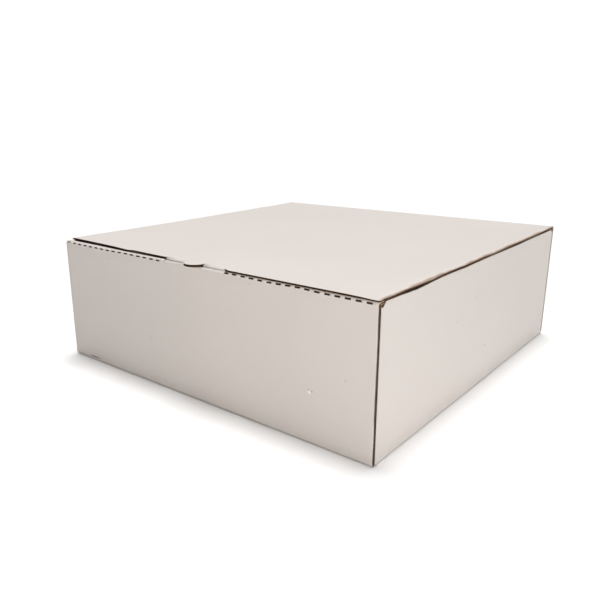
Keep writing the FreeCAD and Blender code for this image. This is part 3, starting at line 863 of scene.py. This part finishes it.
def make_lid_fold():
    """Make the fold between the back wall and the lid."""
    board = Board()
    columns = lines(12.0, both_ways(SIDE))
    rows = lines(1.0, bend_lines(LID_FOLD_PATH))
    board.liners(Panel(LID_FOLD_PATH, "yz", rows[:, None], columns[None, :]))
    board.fluting(Panel(LID_FOLD_PATH, "yz", rows[:, None], columns[None, :]))
    return board.make("lid_fold")


# ---------------------------------------------------------------------------------------------------
# Lid

TONGUE_HEADING = RIGHT_ANGLE + TONGUE_LEAN
TONGUE_TIP = (
    TONGUE_TURN - FOLD_MID * np.cos(TONGUE_LEAN) + TONGUE_RUN * np.sin(TONGUE_LEAN),
    LID_TOP - FOLD_OUTER - FOLD_MID * np.sin(TONGUE_LEAN) - TONGUE_RUN * np.cos(TONGUE_LEAN),
)
TONGUE_PATH = fold_path(
    TONGUE_TIP, TONGUE_HEADING, ("run", TONGUE_RUN), ("fold", TONGUE_HEADING), ("run", 1.0),
)
PANEL_PATH = fold_path((TONGUE_TURN, LID_MIDDLE), 0.0, ("run", 1.0))
PANEL_END = TONGUE_PATH[2, 0]
LID_DEPTH = LID_CREASE - TONGUE_TURN

# How far the front edge is set back, crushed and drooped, and how far the side edges are curled down
SETBACK_AT = np.array([
    -154, -120, -93, -81, -72, -66, -50,
    TONGUE_LEFT - 0.6, TONGUE_LEFT, TONGUE_RIGHT, TONGUE_RIGHT + 0.6, 154,
])
SETBACK_BY = (6.2, 5.3, 4.2, 3.0, 2.2, 4.0, 3.3, 2.6, 3.95, 3.95, 0.8, 0.4)
CRUSH_REACH, DROOP_REACH, CURL_REACH = 3.5, 12.0, 1.7
CRUSHED_AT = (-154, -60, TONGUE_LEFT - 2.0, TONGUE_LEFT, TONGUE_RIGHT, TONGUE_RIGHT + 4.0, 138, 150)
CRUSHED_BY = (0.05, 0.1, 0.1, 0.0, 0.0, 0.45, 0.5, 0.8)
DROOPED_BY = (0.1, 0.15, 0.1, 0.0, 0.0, 0.2, 0.2, 0.3)
CURLED_AT = (-155, -110, -60, 0, 80, 150)
CURLED_BY = (0.55, 0.85, 0.75, 0.7, 0.55, 0.3)


def lid_front(x):
    """Return the y of the lid's front edge, which sits a little askew on the front wall."""
    return FRONT + np.interp(x, SETBACK_AT, SETBACK_BY)


def lid_faces(length, x):
    """The lid sags softly; its front edge is crushed, more to the right, and its side edges curl down.

    A crushed, drooped or curled edge is its size along the edge times exp(-(distance / reach)^2).
    """
    y = length + TONGUE_TURN
    from_edge = y - lid_front(x)
    sag = ease(from_edge, 8, 60) * ease(LID_CREASE - y, 5, 60) * (0.25 + 0.2 * drift(length, x, 63, 170.0))
    crush = np.interp(x, CRUSHED_AT, CRUSHED_BY) * np.exp(-((from_edge / CRUSH_REACH) ** 2))
    curl = np.interp(y, CURLED_AT, CURLED_BY) * np.exp(-(((SIDE - np.abs(x)) / CURL_REACH) ** 2))
    uneven = 1 + 0.25 * np.sin(y / 9.0) + 0.15 * np.sin(y / 3.7 + 1.0)
    curl = curl * ease(y, FRONT + 4, FRONT + 9) * uneven
    droop = sag + np.interp(x, CRUSHED_AT, DROOPED_BY) * np.exp(-((from_edge / DROOP_REACH) ** 2))
    return HALF - droop - crush - curl, -HALF - droop


def lid_panels(columns, rows, step):
    """Return the lid's panels: the flat one, the tongue, its fold and the thumb tab.

    The tongue's rows are drawn up to the edge of its half-round hole, and its sides taper to its tip.
    The thumb tab's rows are drawn out to its half-round rim.
    """
    front = lid_front(columns)[None, :]
    y = front + rows[:, None] * (LID_CREASE - front)
    flat = Panel(PANEL_PATH, "yz", y - TONGUE_TURN, columns[None, :], lid_faces)

    inner = columns[np.abs(columns - TONGUE_SHIFT) <= TONGUE_HALF + 1e-6]
    beside = inner - TONGUE_SHIFT
    chord = np.sqrt(np.maximum(THUMB_RADIUS**2 - beside**2, 0))
    top = TONGUE_RUN - np.maximum(chord - FOLD_INNER, 0) / np.cos(TONGUE_LEAN)
    rise = lines(step / TONGUE_RUN, 0.0, 1.0)[:, None] * top
    taper = TONGUE_TAPER / TONGUE_HALF * np.clip(1 - rise / TONGUE_SHOULDER, 0, 1)
    tongue = Panel(TONGUE_PATH, "yz", rise, TONGUE_SHIFT + beside * (1 - taper))

    share = np.linspace(0, 1, FOLD_STEPS + 1)[:, None]
    bend = TONGUE_RUN + share * (PANEL_END - TONGUE_RUN) + 0 * inner
    bend = np.vstack([bend, PANEL_END + lid_front(inner) - TONGUE_TURN])
    row, x = middles(bend[:, 0], inner)
    keep = (np.abs(x - TONGUE_SHIFT) > THUMB_RADIUS) & (row > 0)
    fold = Panel(TONGUE_PATH, "yz", bend, inner[None, :], keep=keep)

    tab = inner[np.abs(beside) <= THUMB_RADIUS + 1e-6]
    rim = THUMB_LINE - np.sqrt(np.maximum(THUMB_RADIUS**2 - (tab - TONGUE_SHIFT) ** 2, 0))
    reach = lines(step / THUMB_RADIUS, 0.0, 1.0)[:, None]
    out = lid_front(tab) + reach * (rim - lid_front(tab))
    thumb = Panel(PANEL_PATH, "yz", out - TONGUE_TURN, tab[None, :])
    return flat, tongue, fold, thumb


def make_lid():
    """Make the lid with its tongue and thumb tab."""
    board = Board()
    round_lines = TONGUE_SHIFT + THUMB_RADIUS * np.sin(np.linspace(-RIGHT_ANGLE, RIGHT_ANGLE, 17))
    edges = SIDE - np.array([0.0, 0.3, 0.6, 1.0, 1.5, 2.4, 5.0])
    beside_tongue = TONGUE_SHIFT + both_ways(TONGUE_HALF + np.array([0.0, 0.6, 2.0, 4.0]))
    columns = lines(8.0, both_ways(edges), SETBACK_AT[1:7], beside_tongue, round_lines)
    depths = np.array([0.0, 0.5, 1.2, 2.2, 3.5, 5.5, 9.0, LID_DEPTH]) / LID_DEPTH
    board.liners(*lid_panels(columns, lines(8.0 / LID_DEPTH, depths), 1.6))

    sparse = lines(45.0, both_ways(SIDE, SIDE - 4.0), beside_tongue, round_lines[::2])
    for panel in lid_panels(sparse, lines(FLUTE_STEP / LID_DEPTH, 0.0, 1.0), FLUTE_STEP):
        board.fluting(panel)
    return board.make("lid_panel")


# ---------------------------------------------------------------------------------------------------
# Pieces on their bodies

floor_and_sides = make_floor_and_sides()
front_wall = make_front_wall()
back_wall = make_back_wall()
lid_panel = make_lid()
lid_fold = make_lid_fold()

for piece in (floor_and_sides, front_wall, back_wall):
    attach(piece, "box")
    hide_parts("tray")
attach(lid_panel, "cover")
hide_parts("lid")
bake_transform(lid_fold)

# ---------------------------------------------------------------------------------------------------
# Floor, light and camera

WARM_WHITE = (1, 0.95, 0.91)


def make_floor():
    """Lay a wide pale floor under the box."""
    reach, below = 12.0, -0.0001
    mesh = bpy.data.meshes.new("studio_floor")
    corners = [(x * reach, y * reach, below) for x, y in ((-1, -1), (1, -1), (1, 1), (-1, 1))]
    mesh.from_pydata(corners, [], [(0, 1, 2, 3)])
    floor = bpy.data.objects.new("studio_floor", mesh)
    bpy.context.scene.collection.objects.link(floor)
    finish = Finish("pale_floor", 0.9, 0.1)
    mesh.materials.append(finish.finished((0.95, 0.95, 0.95, 1), None))


def make_sky():
    """Light the studio softly from behind and from the right, and show plain white all round.

    The strength is behind * low_down + right, or 1 where the sky is looked at, if that is more.
    """
    world = bpy.data.worlds.new("studio")
    bpy.context.scene.world = world
    world.use_nodes = True
    tree = world.node_tree
    heading = tree.nodes.new("ShaderNodeTexCoord").outputs["Generated"]

    def glow(direction, low, high, most):
        """Return a strength that grows from 0 to `most` as the view turns towards a direction."""
        along = tree.nodes.new("ShaderNodeVectorMath")
        along.operation = "DOT_PRODUCT"
        along.inputs[1].default_value = direction
        tree.links.new(heading, along.inputs[0])
        fade = tree.nodes.new("ShaderNodeMapRange")
        fade.interpolation_type = "SMOOTHSTEP"
        fade.inputs["From Min"].default_value = low
        fade.inputs["From Max"].default_value = high
        fade.inputs["To Max"].default_value = most
        tree.links.new(along.outputs["Value"], fade.inputs["Value"])
        return fade.outputs["Result"]

    def combine(operation, *strengths):
        """Do one sum with strengths."""
        node = tree.nodes.new("ShaderNodeMath")
        node.operation = operation
        for strength, socket in zip(strengths, node.inputs):
            tree.links.new(strength, socket)
        return node.outputs["Value"]

    behind = glow((-0.643, 0.766, 0), 0.2, 0.75, 1.02)
    low_down = glow((0, 0, -1), -0.30, -0.18, 1.0)
    right = glow((0.85, 0.45, 0.3), 0.3, 1.0, 0.82)
    light = combine("MULTIPLY_ADD", behind, low_down, right)
    looked_at = tree.nodes.new("ShaderNodeLightPath").outputs["Is Camera Ray"]
    background = tree.nodes["Background"]
    background.inputs["Color"].default_value = (1, 1, 1, 1)
    tree.links.new(combine("MAXIMUM", light, looked_at), background.inputs["Strength"])


def add_lamp(kind, name, place, target, energy, **settings):
    """Hang a lamp at a place, turned towards a target, both in metres."""
    lamp = bpy.data.lights.new(name, kind)
    lamp.energy = energy
    for key, value in settings.items():
        setattr(lamp, key, value)
    holder = bpy.data.objects.new(name, lamp)
    holder.location = place
    holder.rotation_euler = (Vector(target) - Vector(place)).to_track_quat("-Z", "Y").to_euler()
    bpy.context.scene.collection.objects.link(holder)


def make_camera():
    """Stand the camera off the front right corner, a little above the lid and tipped very slightly."""
    camera = bpy.data.cameras.new("camera")
    camera.sensor_width = 36.0
    camera.lens = 36.856
    camera.shift_x = 0.04797
    camera.shift_y = 0.00154
    camera.clip_start = 0.01
    holder = bpy.data.objects.new("camera", camera)
    holder.location = Vector((316.95, -444.68, 198.11)) * MM
    yaw, pitch, tip = np.radians((40.034, 16.093, -0.463))
    stand = Euler((RIGHT_ANGLE - pitch, 0, yaw)).to_matrix()
    holder.rotation_euler = (stand @ Matrix.Rotation(tip, 3, "Z")).to_euler()
    bpy.context.scene.collection.objects.link(holder)
    bpy.context.scene.camera = holder


make_floor()
make_sky()
add_lamp("SUN", "overhead", (-0.27, 0.32, 3), (0, 0, 0), 2.88, angle=np.radians(24))
add_lamp("AREA", "front_softbox", (0.35, -0.75, 0.35), (0.12, -0.157, 0.06), 0.9,
         shape="SQUARE", size=0.3, color=WARM_WHITE)
add_lamp("AREA", "low_fill", (0.42, -0.62, 0.14), (0.14, -0.157, 0.06), 0.5,
         shape="SQUARE", size=0.12, color=WARM_WHITE)
add_lamp("AREA", "right_fill", (2.0, -0.2, 0.25), (0.154, 0, 0.05), 1.7, shape="SQUARE", size=0.5)
make_camera()
bpy.context.scene.view_settings.view_transform = "Standard"
